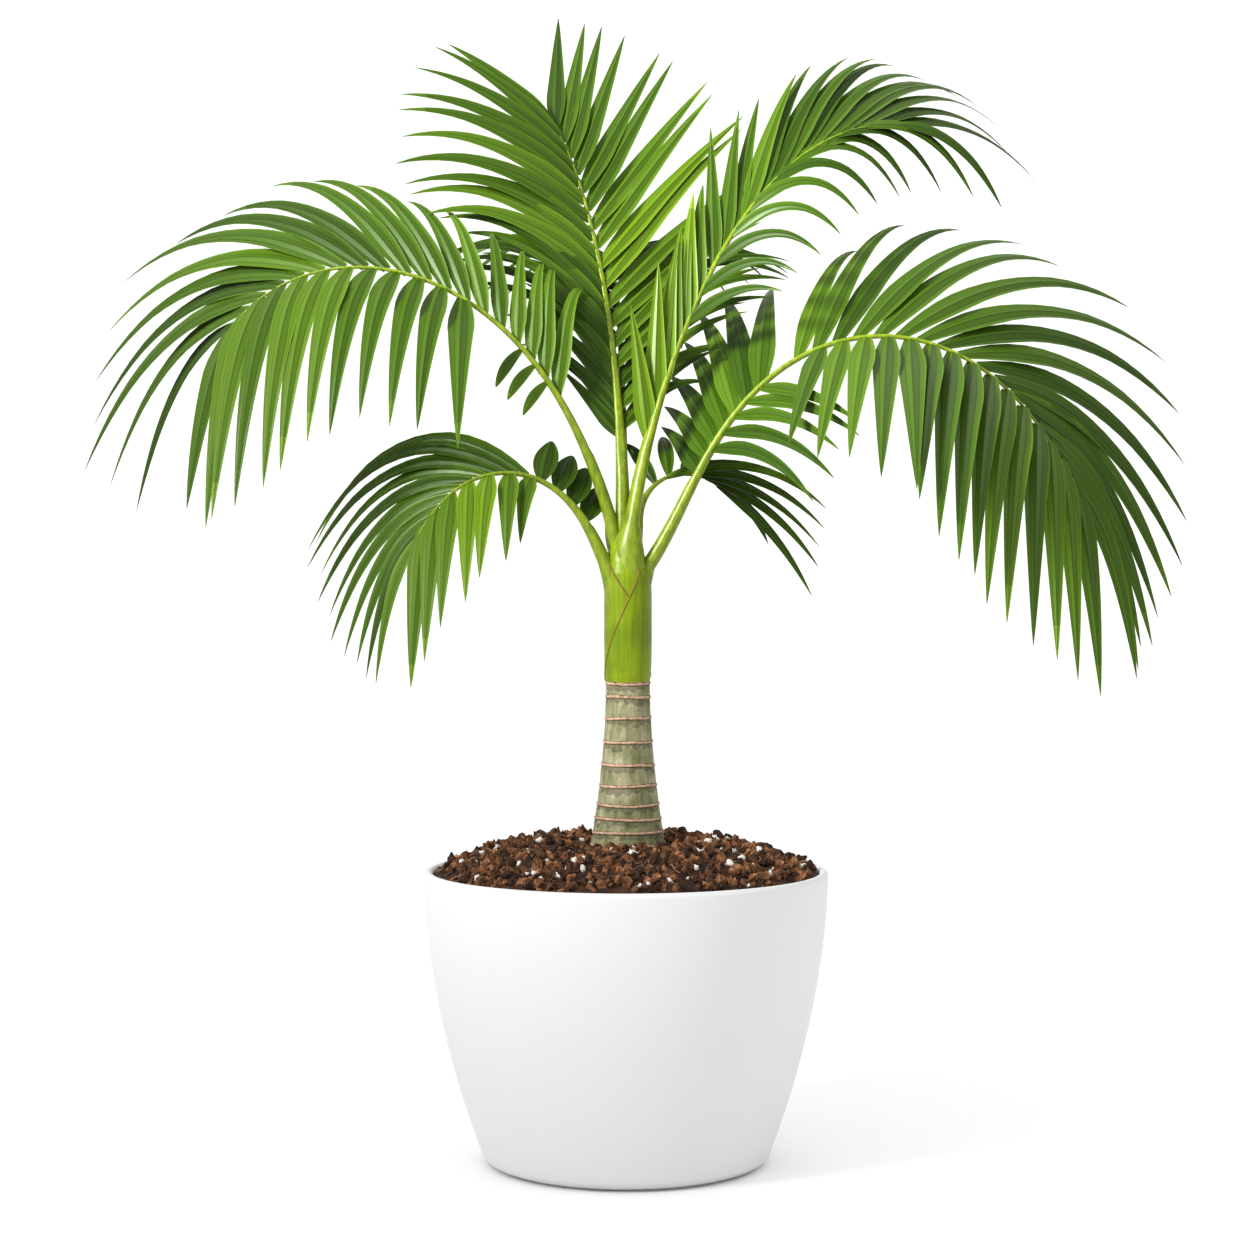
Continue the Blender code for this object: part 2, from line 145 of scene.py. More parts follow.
# Trunk: ring scars by their height above the soil. Each stands proud over a
# crease, and its bands of colour, with a painted shade under it, are measured from its middle
STEM_X = 0.002
TRUNK_FOOT_RADIUS = 0.0398
TRUNK_TOP_RADIUS = 0.0229
TRUNK_FLARE = 1.8
TRUNK_TAPER_END = 0.1725
TRUNK_SINK = 0.006
TRUNK_OVERLAP = 0.0028
TRUNK_RINGS = 330
TRUNK_SIDES = 120
RING_HEIGHTS = (0.0065, 0.0194, 0.0332, 0.0480, 0.0673, 0.0890, 0.1132, 0.1374, 0.1596, 0.1738)
RING_WAVE = 0.0006
RING_RIPPLE = 0.0003
RING_TURN = 2.1
SCAR_RISE = 0.0010
SCAR_HALF = 0.0014
CREASE_DEPTH = 0.0003
CREASE_BELOW = 0.0026
CREASE_HALF = 0.0012
BARK_LUMP = 0.0006
BARK_GRAIN = 0.0002
BARK_SCALE = (2.0, 60.0)
GRAIN_FINER = 5.0
SCAR_BAND = 0.0012
EDGE_BAND = 0.0019
# Painted shade: a band of darker bark just under each ring scar, with its depth, waver and noise scale
PAINTED_SHADE_DEPTH = 0.0065
PAINTED_SHADE_WOBBLE = 0.006
PAINTED_SHADE_NOISE = (4.0, 160.0)
# Bands of colour on the trunk; the last is painted shade under a ring
BARK, SCAR, SCAR_EDGE, BARK_PAINTED_SHADE = range(4)

# Crownshaft: radius and height of its profile, which leans left at the top
SHAFT_PROFILE = (
    (0.0226, 0.0), (0.0237, 0.008), (0.0246, 0.020), (0.0250, 0.048), (0.0249, 0.100),
    (0.0240, 0.115), (0.0212, 0.128), (0.0180, 0.138), (0.0150, 0.146), (0.0100, 0.155),
)
SHAFT_LEAN = 0.004
SHAFT_LEAN_FROM = 0.090
SHAFT_BEND = 1.5
SHAFT_LIP = (0.0205, -0.0004)
SHAFT_START = 0.0005
SHAFT_RINGS = 190
SHAFT_SIDES = 180
SHAFT_GLOSS = 0.30

# Sheath edges on the crownshaft: angle from the front in degrees where the
# edge starts, degrees it turns for each metre down, lowest and highest point.
# The sheath steps out behind an edge and levels off over some degrees
SHEATH_EDGES = (
    (43.0, 1030.0, 0.502, 0.627),
    (223.0, 900.0, 0.506, 0.640),
)
SHORT_EDGE = (-54.0, -1480.0, 0.5905, 0.627)
STEP_RISE = 0.0007
STEP_SOFTNESS = 1.2
STEP_FADE = 60.0
EDGE_KNOTS = 60
EDGE_SIDES = 5
EDGE_RADIUS = 0.00075
EDGE_STAND = 0.0006

# Rib: share of its base radius at places along it, and a section a little
# wider than tall with a groove on top where the rib is thin
RIB_PLACES = (0.0, 0.10, 0.20, 0.32, 0.60, 1.0)
RIB_TAPER = (1.46, 1.20, 0.92, 0.68, 0.46, 0.15)
RIB_STEPS = 120
RIB_SECTIONS = 70
ROOT_SECTIONS = 26
RIB_SIDES = 14
RIB_WIDE = 1.08
RIB_TALL = 0.92
RIB_GROOVE = 0.80
GROOVE_FROM = 0.9
GROOVE_UNDER = 0.006

# Sheath of each frond: centre and radius of its sections below the petiole
ROOTS = {
    "left": (
        (0.0000, 0.004, 0.6050, 0.0130), (-0.0060, 0.004, 0.6300, 0.0122),
        (-0.0125, 0.003, 0.6500, 0.0100),
    ),
    "centre": ((0.0000, 0.004, 0.6150, 0.0120), (-0.0015, 0.004, 0.6400, 0.0105)),
    "upper_right": (
        (0.0010, -0.001, 0.5700, 0.0200), (0.0012, -0.002, 0.6000, 0.0205),
        (0.0014, -0.0035, 0.6230, 0.0196), (0.0025, -0.0060, 0.6430, 0.0160),
        (0.0044, -0.0080, 0.6570, 0.0120),
    ),
    "right": (
        (0.0050, -0.003, 0.5550, 0.0190), (0.0095, -0.003, 0.5800, 0.0160),
        (0.0150, -0.0025, 0.5980, 0.0120), (0.0195, -0.002, 0.6120, 0.0098),
    ),
    "lower_left": (
        (-0.0030, -0.004, 0.5600, 0.0185), (-0.0085, -0.005, 0.5880, 0.0150),
        (-0.0140, -0.0065, 0.6050, 0.0115), (-0.0185, -0.0075, 0.6165, 0.0093),
    ),
    "lower_right": ((0.0070, 0.0060, 0.6300, 0.0090), (0.0100, 0.0075, 0.6500, 0.0075)),
    "back": ((0.0000, 0.0090, 0.6200, 0.0100), (-0.0020, 0.0130, 0.6450, 0.0085)),
}

# Leaflets: how late one starts to sag, how its width follows its length, and
# how far its angles in degrees and its length wander
HANG = 1.3
LEAF_STEPS = 12
WIDTH_BY_LENGTH = 0.4
JITTER_ANGLE = 2.5
JITTER_LENGTH = 0.04

# A row of leaflets on one side of a rib. Side 1 is right of the rib as it
# grows away, -1 left. Span is the stretch of the rib that the row covers.
# Sweep is the angle from the rib, lift the angle above the blade's plane and
# droop how far gravity bends a leaflet. Their values are spread evenly along
# the row, from its foot to its tip. Width is the widest leaflet's, and tone
# runs from deep green at 0 to fresh yellow-green at 1.
Row = namedtuple("Row", "side count span sweep lift length droop width tone")

# A frond. Heading is the compass direction in degrees, 0 along +X and 90
# along +Y, and rise the angle above level, both spread evenly along the rib.
Frond = namedtuple("Frond", "name start heading rise length radius nodes rows")

FRONDS = (
    Frond("left", (-0.0160, 0.002, 0.6695), (178, 171), (74, 49, 3, -66), 0.594, 0.0052, 2, (
        Row(1, 19, (0.22, 0.955), (35, 43, 39, 58), (74, 33), (0.20, 0.17, 0.33, 0.29),
            (1.4, 0.8, 1.9), 0.0215, (0.50, 0.35, 0.32)),
        Row(-1, 12, (0.46, 0.97), (115, 87, 75, 50), (-23, -28), (0.26, 0.21, 0.27, 0.22),
            (0.5, 3.4, 0.9), 0.024, (0.45, 0.55, 0.50)),
        Row(-1, 3, (0.25, 0.36), (95, 90), (-60, -50), (0.045, 0.060), (1.0, 1.0), 0.010, (0.5, 0.5)),
    )),
    Frond("centre", (-0.0030, 0.004, 0.6695), (95, 128), (82, 69, 63, 43), 0.510, 0.0052, 1, (
        Row(-1, 18, (0.155, 0.985), (38, 36, 52, 24), (0, 12), (0.09, 0.18, 0.22, 0.13),
            (0.1, 0.9, 0.2), 0.020, (0.30, 0.45, 0.40)),
        Row(1, 17, (0.17, 0.97), (42, 43, 38, 20), (4, 12), (0.10, 0.26, 0.26, 0.19),
            (0.9, 0.2, 0.0), 0.019, (0.40, 0.60, 0.40)),
    )),
    Frond("upper_right", (0.0063, -0.0095, 0.6695), (36, 26), (80, 65, 44, -8), 0.613, 0.0055, 2, (
        Row(-1, 7, (0.12, 0.415), (27, 15, 17, 22), (74, 60), (0.12, 0.17, 0.16, 0.15),
            (0.2, 0.7, 0.7), 0.020, (0.80, 0.70, 0.50)),
        Row(-1, 14, (0.458, 0.96), (30, 20, 23, 19), (45, 28), (0.16, 0.23, 0.30, 0.26),
            (0.0, 0.7, 0.8), 0.0195, (0.40, 0.30, 0.35)),
        Row(1, 11, (0.33, 0.975), (52, 33, 5, 22), (0, 1), (0.12, 0.14, 0.16, 0.17),
            (0.7, 1.9, 1.9), 0.017, (0.30, 0.30, 0.30)),
    )),
    Frond("right", (0.0235, -0.002, 0.6227), (2, -6), (56, 44, -24, -61), 0.649, 0.0058, 2, (
        Row(-1, 7, (0.158, 0.352), (69, 66, 60, 50), (42, 42), (0.09, 0.14, 0.20, 0.22),
            (0.4, 0.5, 0.8), 0.025, (0.30, 0.35)),
        Row(-1, 17, (0.398, 0.97), (49, 53, 37, 18), (48, 34), (0.21, 0.36, 0.31, 0.21),
            (0.8, 1.2, 3.9), 0.0225, (0.45, 0.30, 0.30)),
        Row(1, 5, (0.195, 0.352), (70, 67), (-29, -27), (0.20, 0.18), (1.0, 0.4), 0.015, (0.25, 0.25)),
        Row(1, 15, (0.44, 0.975), (118, 88, 75, 28), (-25, -24), (0.17, 0.31, 0.31, 0.22),
            (0.4, 0.7, 2.6), 0.024, (0.50, 0.45, 0.40)),
    )),
    Frond("lower_left", (-0.0221, -0.008, 0.6258), (185, 200), (66, 34, -28, -61), 0.285, 0.0055, 2, (
        Row(1, 4, (0.13, 0.42), (62, 88), (50, 50), (0.058, 0.062), (0.3, 0.2), 0.021, (0.2, 0.3)),
        Row(1, 11, (0.415, 0.985), (36, 47, 38, 5), (38, 26), (0.30, 0.25, 0.19, 0.15),
            (2.1, 2.3, 4.5), 0.017, (0.25, 0.30, 0.40)),
        Row(-1, 7, (0.388, 0.93), (82, 72, 50, 28), (-30, -30), (0.07, 0.13, 0.16, 0.17),
            (2.3, 1.9, 1.8), 0.021, (0.75, 0.65, 0.50)),
    )),
    Frond("lower_right", (0.0120, 0.0085, 0.6645), (40, 20), (88, 40, -3, -46), 0.140, 0.0042, 1, (
        Row(1, 5, (0.42, 0.98), (30, 8), (0, 10), (0.185, 0.150), (1.3, 1.0), 0.016, (0.35, 0.50)),
        Row(-1, 5, (0.30, 0.95), (75, 25), (60, 30), (0.050, 0.130), (0.3, 1.4), 0.017, (0.20, 0.35)),
    )),
    Frond("back", (-0.0040, 0.0165, 0.6695), (88, 104), (76, 60, 22, -42), 0.550, 0.0044, 2, (
        Row(1, 15, (0.17, 0.97), (44, 52, 48, 22), (28, 14), (0.12, 0.22, 0.21, 0.13),
            (0.6, 1.2, 2.0), 0.017, (0.25, 0.25, 0.25)),
        Row(-1, 15, (0.19, 0.98), (44, 52, 48, 22), (28, 14), (0.12, 0.22, 0.21, 0.13),
            (0.6, 1.2, 2.0), 0.017, (0.25, 0.25, 0.25)),
    )),
)

# Leaf section: place across from edge to edge, height above the leaflet's
# plane as a share of its half width, and the band of colour to its right
LEAF_ACROSS = (-1.0, -0.90, -0.52, -0.44, -0.07, 0.0, 0.07, 0.44, 0.52, 0.90, 1.0)
LEAF_FOLDS = (0.06, 0.03, -0.06, -0.02, 0.10, 0.16, 0.10, -0.02, -0.06, 0.03, 0.06)
LEAF_BANDS = ("edge", "blade", "vein", "blade", "vein", "vein", "blade", "vein", "blade", "edge")
LEAF_KINDS = ("blade", "edge", "vein")
LEAF_RINGS = 16
LEAF_SEED = 100
LEAST_HALF = 0.0003
LEAF_TWIST = 16.0
LIME_TIPS = 0.35
LIME_FROM = 0.84

# Leaf outline: widest at the shoulder, with a narrow root and a long point.
# Leaflets under the short length are spindles
SHOULDER = 0.26
ROOT_WIDTH = 0.42
POINT_SHAPE = 0.78
SHORT_LEAF = 0.075
SPINDLE_SHAPE = 0.75
SPINDLE_FROM = 0.05
SPINDLE_SPAN = 0.93

# Direction the blades turn towards, and how far they follow it
LIGHT_SIDE = (-0.20, -0.85, 0.48)
TURN_TO_LIGHT = 0.62

# Greens from deep to fresh, as linear colours. A leaflet's edges are lighter
# and yellower than its blade, and its veins darker
GREENS = (
    (0.024, 0.056, 0.0020), (0.039, 0.084, 0.0035), (0.059, 0.118, 0.0060),
    (0.084, 0.156, 0.0085), (0.122, 0.208, 0.0090), (0.180, 0.286, 0.0095),
)
LEAF_ROUGHNESS = (0.36, 0.46)
EDGE_LIGHTER = 1.25
EDGE_WARMER = 0.06
VEIN_DARKER = 0.62
PLAIN_GLOSS = 0.22

# A square studio light, its power in watts and its spread in degrees
Light = namedtuple("Light", "name place size power spread target")
LIGHTS = (
    Light("key_light", (-2.6, -2.0, 2.5), 0.9, 13.0, 30.0, (0.30, 0.0, 1.12)),
    Light("side_light", (-3.2, -0.9, 0.8), 1.8, 5.0, 180.0, (0.0, 0.0, 0.3)),
)
FLOOR_HALF = 30.0
CAMERA_X = 0.001
SENSOR_WIDTH = 36.0
FARTHEST_SEEN = 200.0


class Socket:
    """Wraps a node's socket, so that arithmetic on it adds Math nodes."""

    def __init__(self, maker, socket):
        self.maker = maker
        self.socket = socket

    def combine(self, operation, first, second):
        """Add one Math node for two sockets or numbers."""
        return self.maker.node("ShaderNodeMath", {"operation": operation}, {0: first, 1: second})[0]

    def __add__(self, other):
        return self.combine("ADD", self, other)

    def __radd__(self, other):
        return self.combine("ADD", other, self)

    def __sub__(self, other):
        return self.combine("SUBTRACT", self, other)

    def __rsub__(self, other):
        return self.combine("SUBTRACT", other, self)

    def __mul__(self, other):
        return self.combine("MULTIPLY", self, other)

    def __rmul__(self, other):
        return self.combine("MULTIPLY", other, self)


class Outputs:
    """Reads a node's outputs by name or number as wrapped sockets."""

    def __init__(self, maker, node):
        self.maker = maker
        self.node = node

    def __getitem__(self, key):
        return Socket(self.maker, self.node.outputs[key])


class Finish:
    """Makes one material around its Principled shader."""

    def __init__(self, name):
        self.material = bpy.data.materials.new(name)
        self.material.use_nodes = True
        self.tree = self.material.node_tree
        self.shader = self.tree.nodes["Principled BSDF"]

    def feed(self, socket, value):
        """Set a socket to a value, or link a wrapped socket to it."""
        if isinstance(value, Socket):
            self.tree.links.new(value.socket, socket)
        else:
            socket.default_value = value

    def node(self, kind, settings=None, values=None):
        """Add a node: its settings first, then the values or links of its sockets."""
        node = self.tree.nodes.new(kind)
        for name, value in (settings or {}).items():
            if name == "stops":
                ramp = node.color_ramp
                while len(ramp.elements) < len(value):
                    ramp.elements.new(0.5)
                for element, (position, colour) in zip(ramp.elements, value):
                    element.position = position
                    element.color = (*colour, 1.0)
            else:
                setattr(node, name, value)
        for key, value in (values or {}).items():
            self.feed(node.inputs[key], value)
        return Outputs(self, node)

    def set(self, **values):
        """Set or link sockets of the Principled shader by their names."""
        for name, value in values.items():
            socket = self.shader.inputs[name.replace("_", " ").title()]
            if socket.type == "RGBA" and not isinstance(value, Socket) and len(value) == 3:
                value = (*value, 1.0)
            self.feed(socket, value)
        return self

    def noise(self, scale, detail=4.0, stretch=(1.0, 1.0, 1.0)):
        """Noise from 0 to 1 over the object's own coordinates."""
        place = self.node("ShaderNodeTexCoord")["Object"]
        mapped = self.node("ShaderNodeMapping", {}, {"Vector": place, "Scale": stretch})["Vector"]
        values = {"Vector": mapped, "Scale": scale, "Detail": detail}
        return self.node("ShaderNodeTexNoise", {}, values)["Fac"]

    def ramp(self, factor, stops):
        """Colour read from stops by a factor."""
        return self.node("ShaderNodeValToRGB", {"stops": stops}, {"Fac": factor})["Color"]

    def bump(self, height, distance, strength=0.6):
        """Surface relief from a height."""
        values = {"Height": height, "Distance": distance, "Strength": strength}
        return self.node("ShaderNodeBump", {}, values)["Normal"]


def lit(stops, light):
    """Stops of a ramp with their colours lightened or darkened."""
    return tuple((place, tuple(part * light for part in colour)) for place, colour in stops)


def pot_finish(colour):
    """Satin pot with the faintest ripple."""
    skin = Finish("pot_satin_white")
    ripple = skin.noise(9.0, 2.0)
    grain = skin.noise(420.0, 2.0)
    skin.set(base_color=tuple(colour), roughness=0.42 + ripple * 0.10)
    return skin.set(normal=skin.bump(grain, 0.0002, 0.12)).material


def soil_finish():
    """Dark moist soil, mottled brown."""
    skin = Finish("soil_dark_brown")
    patch = skin.noise(70.0, 6.0)
    grain = skin.noise(900.0, 4.0)
    stops = ((0.34, (0.010, 0.004, 0.002)), (0.52, (0.050, 0.020, 0.009)), (0.72, (0.150, 0.068, 0.030)))
    skin.set(base_color=skin.ramp(patch * 0.7 + grain * 0.3, stops), roughness=0.90)
    return skin.set(normal=skin.bump(grain, 0.0012, 0.9)).material


def crumb_finish(name, light):
    """Clumps of soil, a little redder than the ground between them."""
    skin = Finish(name)
    patch = skin.noise(120.0, 5.0)
    grain = skin.noise(1100.0, 4.0)
    stops = ((0.34, (0.035, 0.014, 0.005)), (0.50, (0.150, 0.064, 0.025)), (0.66, (0.400, 0.210, 0.105)))
    skin.set(base_color=skin.ramp(patch * 0.6 + grain * 0.4, lit(stops, light)), roughness=0.88)
    return skin.set(normal=skin.bump(grain, 0.001, 0.9)).material


def grit_finish():
    """Chalky white grit."""
    skin = Finish("grit_white")
    grain = skin.noise(700.0, 3.0)
    stops = ((0.3, (0.50, 0.46, 0.40)), (0.6, (0.80, 0.78, 0.74)))
    skin.set(base_color=skin.ramp(grain, stops), roughness=0.85)
    return skin.set(normal=skin.bump(grain, 0.0006, 0.7)).material


def fibre_finish():
    """Pale root strands and straw."""
    skin = Finish("fibre_straw")
    grain = skin.noise(500.0, 3.0)
    stops = ((0.3, (0.16, 0.085, 0.045)), (0.7, (0.42, 0.28, 0.17)))
    skin.set(base_color=skin.ramp(grain, stops), roughness=0.8)
    return skin.material


def bark_finish(name, light):
    """Grey-green bark with fine upright streaks and lichen-like mottling. A light under 1 darkens it into
    painted shade.
    """
    skin = Finish(name)
    patch = skin.noise(46.0, 6.0)
    streak = skin.noise(160.0, 6.0, (1.0, 1.0, 0.22))
    fleck = skin.noise(520.0, 3.0)
    stops = (
        (0.32, (0.090, 0.105, 0.035)), (0.45, (0.200, 0.205, 0.098)),
        (0.56, (0.330, 0.310, 0.190)), (0.70, (0.560, 0.530, 0.400)),
    )
    mottle = patch * 0.45 + streak * 0.40 + fleck * 0.15
    skin.set(base_color=skin.ramp(mottle, lit(stops, light)), roughness=0.72)
    return skin.set(normal=skin.bump(streak * 0.6 + fleck * 0.4, 0.0007, 0.8)).material


def scar_finish(name, stops):
    """Corky ring scar, or the dark crease under it."""
    skin = Finish(name)
    fleck = skin.noise(330.0, 5.0)
    skin.set(base_color=skin.ramp(fleck, stops), roughness=0.82)
    return skin.set(normal=skin.bump(fleck, 0.0006, 0.8)).material


def shaft_finish():
    """Waxy yellow-green sheath with faint upright veins."""
    skin = Finish("sheath_yellow_green")
    veins = skin.noise(330.0, 4.0, (1.0, 1.0, 0.05))
    patch = skin.noise(24.0, 3.0)
    stops = ((0.30, (0.105, 0.165, 0.002)), (0.50, (0.185, 0.260, 0.003)), (0.72, (0.290, 0.360, 0.006)))
    skin.set(base_color=skin.ramp(veins * 0.45 + patch * 0.55, stops), roughness=0.30 + patch * 0.12)
    skin.shader.inputs["Specular IOR Level"].default_value = SHAFT_GLOSS
    return skin.set(normal=skin.bump(veins, 0.0002, 0.35)).material


def rib_finish():
    """Petioles and ribs: smooth yellow-green with long streaks."""
    skin = Finish("rib_yellow_green")
    veins = skin.noise(260.0, 4.0, (1.0, 1.0, 0.3))
    stops = ((0.30, (0.130, 0.195, 0.006)), (0.50, (0.190, 0.260, 0.009)), (0.72, (0.260, 0.325, 0.018)))
    skin.set(base_color=skin.ramp(veins, stops), roughness=0.36)
    return skin.material


def plain_finish(name, colour, roughness):
    """One plain glossy colour, for pieces whose colours are dealt out by faces."""
    skin = Finish(name)
    skin.set(base_color=colour, roughness=roughness)
    skin.shader.inputs["Specular IOR Level"].default_value = PLAIN_GLOSS
    return skin.material


def tinted(colour, factor, warm=0.0):
    """Lighten or darken a linear colour and shift it towards yellow."""
    red, green, blue = (min(1.0, part * factor) for part in colour)
    return (min(1.0, red + warm * green), green, blue)


def link(name, mesh):
    """Put a mesh in the scene as a piece that rides on the plant's body."""
    piece = bpy.data.objects.new(name, mesh)
    bpy.context.scene.collection.objects.link(piece)
    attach(piece, "root")
    return piece


def mesh_from(name, points, faces, materials, slots=None, smooth=True):
    """Build a mesh from points and faces with its materials by face."""
    mesh = bpy.data.meshes.new(name)
    mesh.from_pydata([tuple(point) for point in points], [], [tuple(face) for face in faces])
    for material in materials:
        mesh.materials.append(material)
    if slots is not None:
        mesh.polygons.foreach_set("material_index", np.asarray(slots, np.int32))
    mesh.polygons.foreach_set("use_smooth", np.full(len(mesh.polygons), smooth))
    mesh.update()
    return mesh


def lathe(profile, segments, shift=None):
    """Turn a profile about Z, where shift can move points outwards and along X."""
    points = []
    faces = []
    for radius, height in profile:
        for index in range(segments):
            angle = 2 * math.pi * index / segments
            grow, lean = shift(angle, height) if shift else (0.0, 0.0)
            wide = radius + grow
            points.append((wide * math.cos(angle) + lean, wide * math.sin(angle), height))
    for row in range(len(profile) - 1):
        for index in range(segments):
            after = (index + 1) % segments
            lower, upper = row * segments, (row + 1) * segments
            faces.append((lower + index, upper + index, upper + after, lower + after))
    return points, faces


def tube_faces(first, rings, sides):
    """Faces of a tube whose rings of points follow each other from a first point."""
    faces = []
    for ring in range(rings - 1):
        lower = first + ring * sides
        upper = lower + sides
        for corner in range(sides):
            after = (corner + 1) % sides
            faces.append((lower + corner, lower + after, upper + after, upper + corner))
    return faces


def along(values, place):
    """Read the smooth curve through values that are spread evenly from 0 to 1."""
    places = np.linspace(0.0, 1.0, len(values))
    return np.polyval(np.polyfit(places, values, len(values) - 1), place)


def unit(vectors):
    """Scale each vector to length 1."""
    return vectors / np.linalg.norm(vectors, axis=-1, keepdims=True)


def read(values, place):
    """Read a list of vectors at a place from 0 to 1."""
    at = min(max(place, 0.0), 1.0) * (len(values) - 1)
    first = min(int(at), len(values) - 2)
    return values[first] + (values[first + 1] - values[first]) * (at - first)


def pot_radius(height, settings):
    """Outer radius of the pot's side."""
    return settings.rim_radius - POT_TAPER * (1.0 - height / settings.height) ** POT_BULGE


def pot_profile(settings):
    """Inside wall from the soil up, round rim, outer side, round corner and foot."""
    half = POT_WALL / 2
    rim_height = settings.height - half
    inner_low = SOIL_TOP + SOIL_EDGE - POT_WALL_UNDER_SOIL
    inner_heights = np.linspace(inner_low, rim_height, INSIDE_STEPS)
    inner = [(pot_radius(z, settings) - POT_WALL, z) for z in inner_heights]
    rim_centre = pot_radius(rim_height, settings) - half
    rim = []
    for angle in np.linspace(math.pi, 0.0, RIM_STEPS)[1:-1]:
        rim.append((rim_centre + half * math.cos(angle), rim_height + half * math.sin(angle)))
    widening = pot_radius(POT_CORNER + SLOPE_STEP, settings) - pot_radius(POT_CORNER, settings)
    slope = math.atan2(widening, SLOPE_STEP)
    side_foot = FOOT_HEIGHT + POT_CORNER * (1.0 - math.sin(slope))
    side = [(pot_radius(z, settings), z) for z in np.linspace(rim_height, side_foot, SIDE_STEPS)]
    centre = pot_radius(side_foot, settings) - POT_CORNER * math.cos(slope)
    corner = []
    for angle in np.linspace(-slope, -math.pi / 2, CORNER_STEPS)[1:]:
        height = FOOT_HEIGHT + POT_CORNER + POT_CORNER * math.sin(angle)
        corner.append((centre + POT_CORNER * math.cos(angle), height))
    edge = centre - FOOT_INSET
    foot = [(edge, FOOT_HEIGHT), (edge, 0.0), (centre - FOOT_RING, 0.0), (FOOT_MIDDLE, 0.0)]
    return inner + rim + side + corner + foot


def soil_height(radius):
    """Height of the mound without its lumps."""
    radii = [point[0] for point in SOIL_PROFILE] + [SOIL_REACH]
    heights = [point[1] for point in SOIL_PROFILE] + [SOIL_EDGE]
    return SOIL_TOP + np.interp(radius, radii, heights)


def soil_surface(x, y):
    """Height of the lumpy soil at a place."""
    radius = math.hypot(x, y)
    calm = min(1.0, max(0.0, (math.hypot(x - STEM_X, y) - CALM_FROM) / CALM_WIDTH))
    lump = 0.0
    for scale, layer, height in SOIL_LUMPS:
        lump += noise.noise(Vector((x * scale, y * scale, layer))) * height
    return soil_height(radius) + lump * (CALM_SHARE + (1.0 - CALM_SHARE) * calm) - SOIL_DROP


def rounded_lump(generator, size, stretch):
    """Points of a small irregular stone on an icosphere."""
    work = bmesh.new()
    bmesh.ops.create_icosphere(work, subdivisions=1 if size < SMALL_STONE else 2, radius=1.0)
    offset = generator.uniform(-50.0, 50.0, 3)
    points = np.array([vertex.co[:] for vertex in work.verts])
    faces = [[vertex.index for vertex in face.verts] for face in work.faces]
    work.free()
    rough = np.array([noise.noise(Vector(point * STONE_SCALE + offset)) for point in points])
    points = points * (1.0 + STONE_ROUGH * rough)[:, None] * stretch * size
    angles = generator.uniform(0.0, 2 * math.pi, 3)
    for axis, angle in enumerate(angles):
        first, second = (axis + 1) % 3, (axis + 2) % 3
        turned = points.copy()
        turned[:, first] = math.cos(angle) * points[:, first] - math.sin(angle) * points[:, second]
        turned[:, second] = math.sin(angle) * points[:, first] + math.cos(angle) * points[:, second]
        points = turned
    return points, faces


def scatter_lumps(heap, count):
    """Join many small stones that lie on the soil, each in one of three shades."""
    generator = np.random.default_rng(heap.seed)
    points = []
    faces = []
    slots = []
    while count > 0:
        radius = heap.reach * math.sqrt(generator.uniform(0.0, 1.0))
        angle = generator.uniform(0.0, 2 * math.pi)
        x, y = radius * math.cos(angle), radius * math.sin(angle)
        size = generator.uniform(*heap.sizes)
        if math.hypot(x - STEM_X, y) < TRUNK_FOOT_RADIUS + size * TRUNK_GAP:
            continue
        stretch = np.array(heap.stretch) * generator.uniform(*STONE_VARIES, 3)
        stone, sides = rounded_lump(generator, size, stretch)
        faces += [[index + len(points) for index in side] for side in sides]
        shade = int(SHADE_SPREAD * generator.uniform(0.0, 1.0) ** SHADE_BIAS)
        slots += [min(len(CRUMB_SHADES) - 1, shade)] * len(sides)
        points += list(stone + np.array([x, y, soil_surface(x, y) + size * heap.stand]))
        count -= 1
    return points, faces, slots


def fibre_strands(count):
    """Thin curved strands that lie on the soil, as three-sided tubes."""
    generator = np.random.default_rng(FIBRE_SEED)
    points = []
    faces = []
    for _ in range(count):
        radius = FIBRE_REACH * math.sqrt(generator.uniform(*FIBRE_START))
        angle = generator.uniform(0.0, 2 * math.pi)
        heading = generator.uniform(0.0, 2 * math.pi)
        bend = generator.uniform(-FIBRE_BEND, FIBRE_BEND)
        step = generator.uniform(*FIBRE_STEP)
        thick = generator.uniform(*FIBRE_THICK)
        x, y = radius * math.cos(angle), radius * math.sin(angle)
        first = len(points)
        for knot in range(FIBRE_KNOTS):
            wave = FIBRE_WAVE * math.sin(knot * FIBRE_WAVES + heading)
            middle = soil_surface(x, y) + FIBRE_STAND + wave
            for corner in range(FIBRE_SIDES):
                turn = 2 * math.pi * corner / FIBRE_SIDES
                side = thick * math.cos(turn)
                z = middle + thick * math.sin(turn)
                points.append((x - side * math.sin(heading), y + side * math.cos(heading), z))
            heading += bend * step
            x += step * math.cos(heading)
            y += step * math.sin(heading)
            if math.hypot(x, y) > FIBRE_EDGE:
                heading += math.pi / 3
        faces += tube_faces(first, FIBRE_KNOTS, FIBRE_SIDES)
        last = first + (FIBRE_KNOTS - 1) * FIBRE_SIDES
        faces.append((first + 2, first + 1, first))
        faces.append((last, last + 1, last + 2))
    return points, faces


def trunk_radius(height):
    """Trunk radius at a height above the soil, with the flare at the foot."""
    share = (1.0 - height / (SHAFT_FOOT - SOIL_TOP)) ** TRUNK_FLARE
    return TRUNK_TOP_RADIUS + (TRUNK_FOOT_RADIUS - TRUNK_TOP_RADIUS) * share


def ring_tilt(angle, ring):
    """Small wave in the height of a ring scar round the trunk."""
    return RING_WAVE * math.sin(angle + ring * RING_TURN) + RING_RIPPLE * math.sin(3 * angle + ring)


